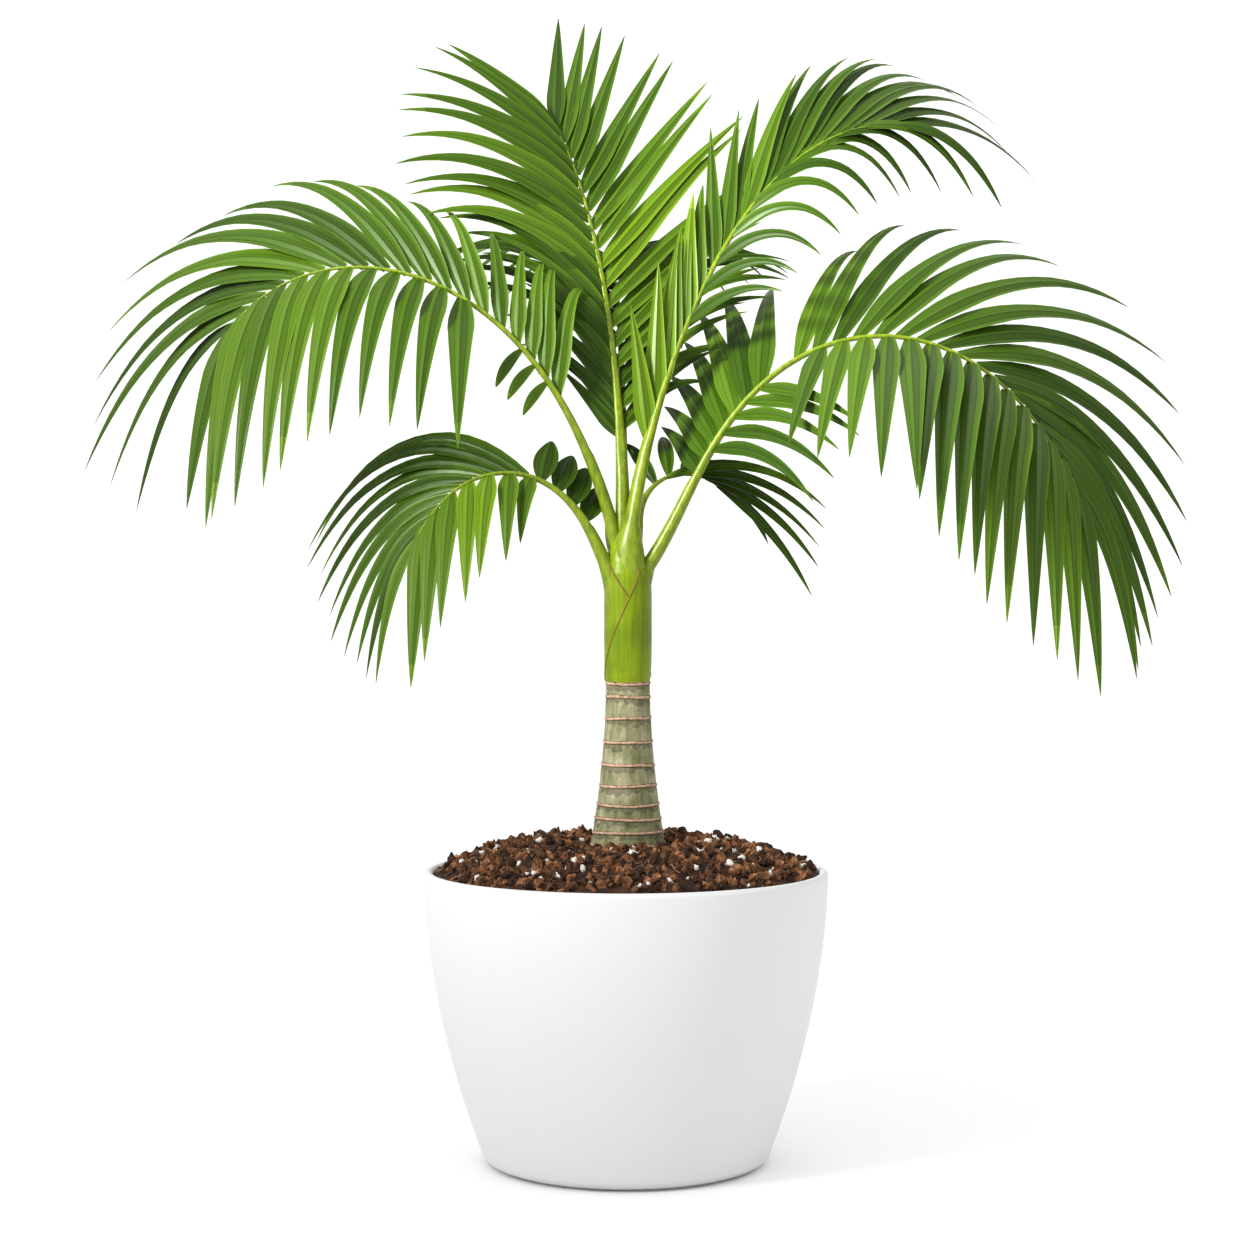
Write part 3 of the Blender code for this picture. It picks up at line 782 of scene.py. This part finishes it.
def trunk_shift(angle, height):
    """Proud ring scars with their creases, and uneven bark."""
    grow = 0.0
    for ring, place in enumerate(RING_HEIGHTS):
        off = height - SOIL_TOP - place - ring_tilt(angle, ring)
        grow += SCAR_RISE * math.exp(-((off / SCAR_HALF) ** 4))
        grow -= CREASE_DEPTH * math.exp(-(((off + CREASE_BELOW) / CREASE_HALF) ** 2))
    wide, tall = BARK_SCALE
    spot = Vector((math.cos(angle) * wide, math.sin(angle) * wide, height * tall))
    grow += BARK_LUMP * noise.noise(spot) + BARK_GRAIN * noise.noise(spot * GRAIN_FINER)
    return grow, STEM_X


def trunk_band(angle, above):
    """Which band of colour a place on the trunk is in: bark, scar, edge or painted shade just under a
    ring.
    """
    band = BARK
    wide, tall = PAINTED_SHADE_NOISE
    shade = noise.noise(Vector((math.cos(angle) * wide, math.sin(angle) * wide, above * tall)))
    for ring, place in enumerate(RING_HEIGHTS):
        off = above - place - ring_tilt(angle, ring)
        if abs(off) < SCAR_BAND:
            band = SCAR
        elif abs(off) < EDGE_BAND:
            band = SCAR_EDGE
        # Painted shade: darker bark just under each ring scar, its depth wavering by noise
        elif -PAINTED_SHADE_DEPTH - shade * PAINTED_SHADE_WOBBLE < off < 0.0:
            band = BARK_PAINTED_SHADE
    return band


def shaft_shift(angle, height):
    """Sheath edges as low steps, and the lean of the crownshaft's upper part."""
    above = max(0.0, height - SHAFT_FOOT - SHAFT_LEAN_FROM) / (SHAFT_PROFILE[-1][1] - SHAFT_LEAN_FROM)
    lean = STEM_X - SHAFT_LEAN * min(1.0, above) ** SHAFT_BEND
    step = 0.0
    for start, slope, low, high in SHEATH_EDGES:
        edge = start - (high - height) * slope
        behind = (math.degrees(angle) + 90.0 - edge + 180.0) % 360.0 - 180.0
        if low < height < high and abs(behind) < STEP_FADE:
            fade = 1.0 - max(0.0, behind) / STEP_FADE
            step += STEP_RISE / (1.0 + math.exp(-behind / STEP_SOFTNESS)) * fade
    return step, lean


def rib_frames(frond):
    """Points of a rib with its tangent, side and upper vectors."""
    def vectors(place):
        rise = np.radians(along(frond.rise, place))
        heading = np.radians(along(frond.heading, place))
        level = np.stack([np.cos(heading), np.sin(heading), 0.0 * heading], 1)
        upright = np.array([[0.0, 0.0, 1.0]])
        tangent = np.cos(rise)[:, None] * level + np.sin(rise)[:, None] * upright
        side = np.stack([np.sin(heading), -np.cos(heading), 0.0 * heading], 1)
        return tangent, side, np.cross(side, tangent)

    places = np.linspace(0.0, 1.0, RIB_STEPS + 1)
    middles = (places[1:] + places[:-1]) / 2
    steps = vectors(middles)[0] * frond.length / RIB_STEPS
    points = np.concatenate([np.zeros((1, 3)), np.cumsum(steps, 0)]) + np.array(frond.start)
    return (points,) + vectors(places)


def hermite(places, values):
    """Smooth curve through values that stand at 0, 1, 2 and so on."""
    slopes = np.gradient(values)
    first = np.clip(np.floor(places).astype(int), 0, len(values) - 2)
    part = places - first
    low, high = values[first], values[first + 1]
    between = (2 * part ** 3 - 3 * part ** 2 + 1) * low + (3 * part ** 2 - 2 * part ** 3) * high
    leaving = (part ** 3 - 2 * part ** 2 + part) * slopes[first]
    return between + leaving + (part ** 3 - part ** 2) * slopes[first + 1]


def rib_tube(frond, frames):
    """Rounded tapering rib with a shallow groove along its upper side."""
    points = []
    rows = []
    for place in np.linspace(0.0, 1.0, RIB_SECTIONS):
        centre, _, across, above = (read(values, place) for values in frames)
        rows.append((centre, across, above, frond.radius * np.interp(place, RIB_PLACES, RIB_TAPER)))
    starts = [tuple(rows[index][0]) + (rows[index][3],) for index in (0, 2)]
    knots = np.array(list(ROOTS[frond.name]) + starts)
    places = np.linspace(0.0, len(knots) - 2, ROOT_SECTIONS)[:-1]
    smooth = np.stack([hermite(places, knots[:, column]) for column in range(4)], 1)
    slopes = unit(np.gradient(smooth[:, :3], axis=0))
    side = rows[0][1]
    roots = []
    for section, slope in zip(smooth, slopes):
        across = unit(side - side.dot(slope) * slope)
        roots.append((section[:3], across, np.cross(across, slope), section[3]))
    rows = roots + rows
    for centre, across, above, radius in rows:
        for corner in range(RIB_SIDES):
            turn = 2 * math.pi * corner / RIB_SIDES
            high = math.sin(turn)
            dent = RIB_GROOVE if high > GROOVE_FROM and radius < GROOVE_UNDER else 1.0
            side = math.cos(turn) * across * RIB_WIDE
            points.append(centre + radius * (side + high * dent * above * RIB_TALL))
    faces = tube_faces(0, len(rows), RIB_SIDES)
    faces.append(tuple(reversed(range(RIB_SIDES))))
    last = (len(rows) - 1) * RIB_SIDES
    faces.append(tuple(range(last, last + RIB_SIDES)))
    return points, faces


def leaflet_path(root, frame_at, side, sweep, lift, length, droop):
    """Points along a leaflet that leaves the rib and sags under its weight."""
    tangent, across, upper = frame_at
    outward = side * math.cos(lift) * across + math.sin(lift) * upper
    start = math.cos(sweep) * tangent + math.sin(sweep) * outward
    share = (np.arange(LEAF_STEPS) + 0.5) / LEAF_STEPS
    sag = (droop * share ** HANG)[:, None] * np.array([[0.0, 0.0, -1.0]])
    steps = unit(start + sag) * length / LEAF_STEPS
    return np.concatenate([[root], root + np.cumsum(steps, 0)])


def row_leaflets(frames, row, generator):
    """Give the place, path, rib tangent and width of each leaflet in a row."""
    shares = (np.arange(row.count) + 0.5) / row.count
    longest = max(row.length)
    for share in shares:
        wander = generator.uniform(-1.0, 1.0, 3)
        place = row.span[0] + (row.span[1] - row.span[0]) * share
        sweep = math.radians(along(row.sweep, share) + JITTER_ANGLE * wander[0])
        lift = math.radians(along(row.lift, share) + JITTER_ANGLE * wander[1])
        length = along(row.length, share) * (1.0 + JITTER_LENGTH * wander[2])
        droop = max(0.0, along(row.droop, share))
        root, tangent, across, upper = (read(values, place) for values in frames)
        path = leaflet_path(root, (tangent, across, upper), row.side, sweep, lift, length, droop)
        width = row.width * min(1.0, length / longest) ** WIDTH_BY_LENGTH
        yield share, path, tangent, width


def leaf_outline(share, length):
    """Share of the full width at a place along a leaflet: narrow root, long point."""
    if length < SHORT_LEAF:
        return math.sin(math.pi * (SPINDLE_FROM + SPINDLE_SPAN * share)) ** SPINDLE_SHAPE
    if share < SHOULDER:
        return ROOT_WIDTH + (1.0 - ROOT_WIDTH) * math.sin(math.pi / 2 * share / SHOULDER)
    return ((1.0 - share) / (1.0 - SHOULDER)) ** POINT_SHAPE


def leaf_faces(path, tangent, side, width, tone, generator, store):
    """Add one pleated leaflet, its bands dealt to shades by place and tone."""
    first = len(store["points"])
    light = np.array(LIGHT_SIDE)
    twist_end = math.radians(generator.uniform(-LEAF_TWIST, LEAF_TWIST))
    lengthwise = unit(np.gradient(path, axis=0))
    count = len(LEAF_ACROSS)
    length = np.linalg.norm(np.diff(path, axis=0), axis=1).sum()
    normal = side * np.cross(lengthwise[0], tangent)
    turn_before = 0.0
    for ring in range(LEAF_RINGS):
        share = ring / (LEAF_RINGS - 1)
        centre = read(path, share)
        direction = unit(read(lengthwise, share))
        normal = unit(normal - normal.dot(direction) * direction)
        flat = np.cross(normal, direction)
        turn = math.atan2(light.dot(flat), light.dot(normal))
        turn += math.pi * round((turn_before - turn) / math.pi)
        turn_before = turn
        turn = turn * TURN_TO_LIGHT + twist_end * share ** 2
        upper = math.cos(turn) * normal + math.sin(turn) * flat
        flat = np.cross(upper, direction)
        half = max(LEAST_HALF, width * leaf_outline(share, length) / 2)
        for across, fold in zip(LEAF_ACROSS, LEAF_FOLDS):
            store["points"].append(centre + flat * half * across + upper * half * fold)
    freshest = len(GREENS) - 1
    shade = int(np.clip(round(tone * freshest + generator.uniform(-1.0, 1.0)), 0, freshest))
    lime_tip = generator.uniform(0.0, 1.0) < LIME_TIPS
    for ring in range(LEAF_RINGS - 1):
        share = ring / (LEAF_RINGS - 1)
        level = min(freshest, shade + 1) if lime_tip and share > LIME_FROM else shade
        for column, band in enumerate(LEAF_BANDS):
            low, high = first + ring * count + column, first + (ring + 1) * count + column
            store["faces"].append((low, low + 1, high + 1, high))
            store["slots"].append(level * len(LEAF_KINDS) + LEAF_KINDS.index(band))


def leaf_materials():
    """Shades for the leaflets: a blade, an edge and a vein colour of each green."""
    materials = []
    for index, green in enumerate(GREENS):
        rough = LEAF_ROUGHNESS[index % 2]
        materials.append(plain_finish(f"leaf_blade_{index}", green, rough))
        edge = tinted(green, EDGE_LIGHTER, EDGE_WARMER)
        materials.append(plain_finish(f"leaf_edge_{index}", edge, rough))
        materials.append(plain_finish(f"leaf_vein_{index}", tinted(green, VEIN_DARKER), rough))
    return materials


class PalmPotSettings(bpy.types.PropertyGroup):
    """Sizes and colour of the pot."""

    height: FloatProperty(name="Height", description="Height of the pot", default=POT_TOP, unit="LENGTH")
    rim_radius: FloatProperty(
        name="Rim radius", description="Outer radius of the rim", default=0.2105, unit="LENGTH"
    )
    segments: IntProperty(name="Segments", description="Facets round the pot", default=160, min=24)
    colour: FloatVectorProperty(
        name="Colour", description="Colour of the pot", default=(0.67, 0.67, 0.67), subtype="COLOR"
    )


class PalmSoilSettings(bpy.types.PropertyGroup):
    """How much lies on the soil."""

    crumbs: IntProperty(name="Crumbs", description="Clumps of soil on the mound", default=2100, min=0)
    grit: IntProperty(name="Grit", description="White grains on the mound", default=190, min=0)
    fibres: IntProperty(name="Fibres", description="Pale strands on the mound", default=260, min=0)


class PalmFrondSettings(bpy.types.PropertyGroup):
    """How full the crown is."""

    fullness: FloatProperty(
        name="Fullness", description="Factor on the width of every leaflet", default=1.24, min=0.1
    )


class PalmStageSettings(bpy.types.PropertyGroup):
    """Camera and studio light."""

    lens: FloatProperty(name="Lens", description="Focal length in millimetres", default=74.37, min=1.0)
    distance: FloatProperty(
        name="Distance", description="Camera to the pot's axis", default=2.7, unit="LENGTH"
    )
    eye_height: FloatProperty(
        name="Eye height", description="Camera above the floor", default=0.6175, unit="LENGTH"
    )
    tilt: FloatProperty(name="Tilt", description="Camera's look down in degrees", default=1.26)
    backdrop: FloatVectorProperty(
        name="Backdrop", description="Colour of the floor", default=(0.97, 0.97, 0.97), subtype="COLOR"
    )
    daylight: FloatProperty(
        name="Daylight", description="Strength of the light from all sides", default=1.14, min=0.0
    )
    gamma: FloatProperty(name="Gamma", description="Contrast of the picture", default=0.84, min=0.1)


class PALM_OT_pot(bpy.types.Operator):
    """Turn the white pot with its rolled rim and recessed foot"""

    bl_idname = "palm.pot"
    bl_label = "Pot"

    def execute(self, context):
        settings = context.scene.palm_pot
        points, faces = lathe(pot_profile(settings), settings.segments)
        last = len(points) - settings.segments
        faces.append(tuple(range(last, len(points))))
        skin = pot_finish(settings.colour)
        pot = link("pot_shell", mesh_from("pot_shell", points, faces, [skin]))
        pot.data.set_sharp_from_angle(angle=math.radians(POT_CREASE))
        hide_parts("pot")
        return {"FINISHED"}


class PALM_OT_soil(bpy.types.Operator):
    """Heap the soil and scatter its crumbs, grit and fibres"""

    bl_idname = "palm.soil"
    bl_label = "Soil"

    def execute(self, context):
        settings = context.scene.palm_soil
        steps = range(SOIL_RINGS + 1)
        rings = [(SOIL_MIDDLE + SOIL_WIDTH * step / SOIL_RINGS, 0.0) for step in steps]
        points, faces = lathe(rings, SOIL_SIDES)
        points = [(x, y, soil_surface(x, y)) for x, y, _ in points]
        faces = [tuple(reversed(face)) for face in faces] + [tuple(range(SOIL_SIDES))]
        mound = link("soil_mound", mesh_from("soil_mound", points, faces, [soil_finish()]))
        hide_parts("soil")
        shades = [crumb_finish(name, light) for name, light in CRUMB_SHADES]
        self.heap(CRUMBS, settings.crumbs, shades, False)
        self.heap(GRIT, settings.grit, [grit_finish()] * len(CRUMB_SHADES), True)
        points, faces = fibre_strands(settings.fibres)
        strands = link("soil_fibres", mesh_from("soil_fibres", points, faces, [fibre_finish()]))
        return {"FINISHED"}

    def heap(self, heap, count, materials, smooth):
        """Scatter one kind of stones as one piece."""
        points, faces, slots = scatter_lumps(heap, count)
        piece = link(heap.name, mesh_from(heap.name, points, faces, materials, slots, smooth))


class PALM_OT_trunk(bpy.types.Operator):
    """Turn the ringed trunk with its corky scars"""

    bl_idname = "palm.trunk"
    bl_label = "Trunk"

    def execute(self, context):
        heights = np.linspace(-TRUNK_SINK, SHAFT_FOOT - SOIL_TOP + TRUNK_OVERLAP, TRUNK_RINGS)
        radii = [trunk_radius(max(0.0, min(height, TRUNK_TAPER_END))) for height in heights]
        profile = list(zip(radii, SOIL_TOP + heights))
        points, faces = lathe(profile, TRUNK_SIDES, trunk_shift)
        slots = []
        for above in (heights[:-1] + heights[1:]) / 2:
            for index in range(TRUNK_SIDES):
                slots.append(trunk_band(2 * math.pi * (index + 0.5) / TRUNK_SIDES, above))
        materials = [
            bark_finish("bark_grey_green", 1.0),
            scar_finish("ring_scar_tan", ((0.3, (0.30, 0.175, 0.110)), (0.6, (0.56, 0.41, 0.30)))),
            scar_finish("ring_edge_brown", ((0.3, (0.090, 0.045, 0.018)), (0.7, (0.210, 0.130, 0.062)))),
            # Painted shade just under each ring scar: the same bark at 0.62 of its light
            bark_finish("bark_green_shade", 0.62),
        ]
        faces = [tuple(reversed(face)) for face in faces]
        trunk = link("trunk_bark", mesh_from("trunk_bark", points, faces, materials, slots))
        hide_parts("trunk")
        return {"FINISHED"}


class PALM_OT_crownshaft(bpy.types.Operator):
    """Wrap the smooth green crownshaft with its sheath edges"""

    bl_idname = "palm.crownshaft"
    bl_label = "Crownshaft"

    def execute(self, context):
        radii = [point[0] for point in SHAFT_PROFILE]
        marks = [point[1] for point in SHAFT_PROFILE]
        profile = [(SHAFT_LIP[0], SHAFT_FOOT + SHAFT_LIP[1])]
        for height in np.linspace(SHAFT_START, marks[-1], SHAFT_RINGS):
            profile.append((float(np.interp(height, marks, radii)), SHAFT_FOOT + height))
        points, faces = lathe(profile, SHAFT_SIDES, shaft_shift)
        faces = [tuple(reversed(face)) for face in faces]
        last = len(points) - SHAFT_SIDES
        faces.append(tuple(range(last, len(points))))
        faces.append(tuple(reversed(range(SHAFT_SIDES))))
        name = "crownshaft_sheaths"
        shaft = link(name, mesh_from(name, points, faces, [shaft_finish()]))
        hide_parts("crownshaft")
        self.edge_lines(radii, marks)
        return {"FINISHED"}

    def edge_lines(self, radii, marks):
        """Thin dry edges along the sheaths."""
        points = []
        faces = []
        for start, slope, low, high in SHEATH_EDGES + (SHORT_EDGE,):
            first = len(points)
            for knot in range(EDGE_KNOTS):
                height = high - (high - low) * knot / (EDGE_KNOTS - 1)
                angle = math.radians(start - (high - height) * slope - 90.0)
                radius = float(np.interp(height - SHAFT_FOOT, marks, radii))
                _, lean = shaft_shift(angle, height)
                for corner in range(EDGE_SIDES):
                    turn = 2 * math.pi * corner / EDGE_SIDES
                    out = radius + EDGE_STAND + EDGE_RADIUS * math.cos(turn)
                    around = angle + EDGE_RADIUS * math.sin(turn) / radius
                    points.append((out * math.cos(around) + lean, out * math.sin(around), height))
            faces += tube_faces(first, EDGE_KNOTS, EDGE_SIDES)
        tan = plain_finish("sheath_edge_tan", (0.26, 0.13, 0.040), 0.7)
        lines = link("sheath_edges", mesh_from("sheath_edges", points, faces, [tan]))


class PALM_OT_fronds(bpy.types.Operator):
    """Grow the ribs and their pleated leaflets"""

    bl_idname = "palm.fronds"
    bl_label = "Fronds"

    def execute(self, context):
        fullness = context.scene.palm_fronds.fullness
        rib = rib_finish()
        greens = leaf_materials()
        for seed, frond in enumerate(FRONDS):
            frames = rib_frames(frond)
            generator = np.random.default_rng(seed)
            finer = np.random.default_rng(LEAF_SEED + seed)
            store = {"points": [], "faces": [], "slots": []}
            for row in frond.rows:
                tones = np.linspace(0.0, 1.0, len(row.tone))
                for share, path, tangent, width in row_leaflets(frames, row, generator):
                    tone = float(np.interp(share, tones, row.tone))
                    leaf_faces(path, tangent, row.side, fullness * width, tone, finer, store)
            name = "leaflets_" + frond.name
            leaves = link(name, mesh_from(name, store["points"], store["faces"], greens, store["slots"]))
            nodes = ["frond_" + frond.name]
            if frond.nodes == 2:
                nodes = [nodes[0] + "_inner", nodes[0] + "_outer"]
            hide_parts(*nodes)
            points, faces = rib_tube(frond, frames)
            name = "rib_" + frond.name
            link(name, mesh_from(name, points, faces, [rib]))
        return {"FINISHED"}


class PALM_OT_stage(bpy.types.Operator):
    """Set the pale floor, the soft studio light and the camera"""

    bl_idname = "palm.stage"
    bl_label = "Stage"

    def execute(self, context):
        scene = context.scene
        settings = scene.palm_stage
        corners = [(x * FLOOR_HALF, y * FLOOR_HALF, 0.0) for x, y in ((-1, -1), (1, -1), (1, 1), (-1, 1))]
        pale = plain_finish("floor_pale", tuple(settings.backdrop), 0.9)
        ground = bpy.data.objects.new("floor", mesh_from("floor", corners, [(0, 1, 2, 3)], [pale]))
        scene.collection.objects.link(ground)
        ground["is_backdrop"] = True
        world = bpy.data.worlds.new("studio")
        world.use_nodes = True
        background = world.node_tree.nodes["Background"]
        background.inputs["Color"].default_value = (1.0, 1.0, 1.0, 1.0)
        background.inputs["Strength"].default_value = settings.daylight
        scene.world = world
        for light in LIGHTS:
            self.softbox(light)
        scene.view_settings.view_transform = "Standard"
        scene.view_settings.gamma = settings.gamma
        camera = bpy.data.cameras.new("camera")
        camera.lens = settings.lens
        camera.sensor_width = SENSOR_WIDTH
        camera.clip_end = FARTHEST_SEEN
        eye = bpy.data.objects.new("camera", camera)
        eye.location = (CAMERA_X, -settings.distance, settings.eye_height)
        eye.rotation_euler = (math.radians(90.0 - settings.tilt), 0.0, 0.0)
        scene.collection.objects.link(eye)
        scene.camera = eye
        return {"FINISHED"}

    def softbox(self, light):
        """Add a square light that faces its target."""
        lamp = bpy.data.lights.new(light.name, "AREA")
        lamp.size = light.size
        lamp.energy = light.power
        lamp.spread = math.radians(light.spread)
        box = bpy.data.objects.new(light.name, lamp)
        box.location = light.place
        aim = Vector(light.target) - Vector(light.place)
        box.rotation_euler = aim.to_track_quat("-Z", "Y").to_euler()
        bpy.context.scene.collection.objects.link(box)


class PALM_PT_sidebar(bpy.types.Panel):
    """Lists the palm's pieces"""

    bl_idname = "PALM_PT_sidebar"
    bl_label = "Potted palm"
    bl_space_type = "VIEW_3D"
    bl_region_type = "UI"
    bl_category = "Palm"

    def draw(self, context):
        for group, _ in GROUPS:
            settings = getattr(context.scene, group)
            for name in settings.__annotations__:
                self.layout.prop(settings, name)
        for operator in OPERATORS:
            self.layout.operator(operator.bl_idname)


OPERATORS = (
    PALM_OT_stage, PALM_OT_pot, PALM_OT_soil, PALM_OT_trunk, PALM_OT_crownshaft, PALM_OT_fronds,
)
GROUPS = (
    ("palm_pot", PalmPotSettings), ("palm_soil", PalmSoilSettings), ("palm_fronds", PalmFrondSettings),
    ("palm_stage", PalmStageSettings),
)


def register():
    """Register the settings, the operators and the panel."""
    for name, group in GROUPS:
        bpy.utils.register_class(group)
        setattr(bpy.types.Scene, name, PointerProperty(type=group))
    for operator in OPERATORS:
        bpy.utils.register_class(operator)
    bpy.utils.register_class(PALM_PT_sidebar)


def unregister():
    """Remove the panel, the operators and the settings."""
    bpy.utils.unregister_class(PALM_PT_sidebar)
    for operator in reversed(OPERATORS):
        bpy.utils.unregister_class(operator)
    for name, group in reversed(GROUPS):
        delattr(bpy.types.Scene, name)
        bpy.utils.unregister_class(group)


def main():
    """Build every piece in order and measure the sizes."""
    register()
    bpy.ops.palm.stage()
    bpy.ops.palm.pot()
    bpy.ops.palm.soil()
    bpy.ops.palm.trunk()
    bpy.ops.palm.crownshaft()
    bpy.ops.palm.fronds()
    boxes = {"cad": CAD_BOX, "visual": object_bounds()}
    plain = {name: [[float(part) for part in corner] for corner in box] for name, box in boxes.items()}


if __name__ == "__main__":
    main()
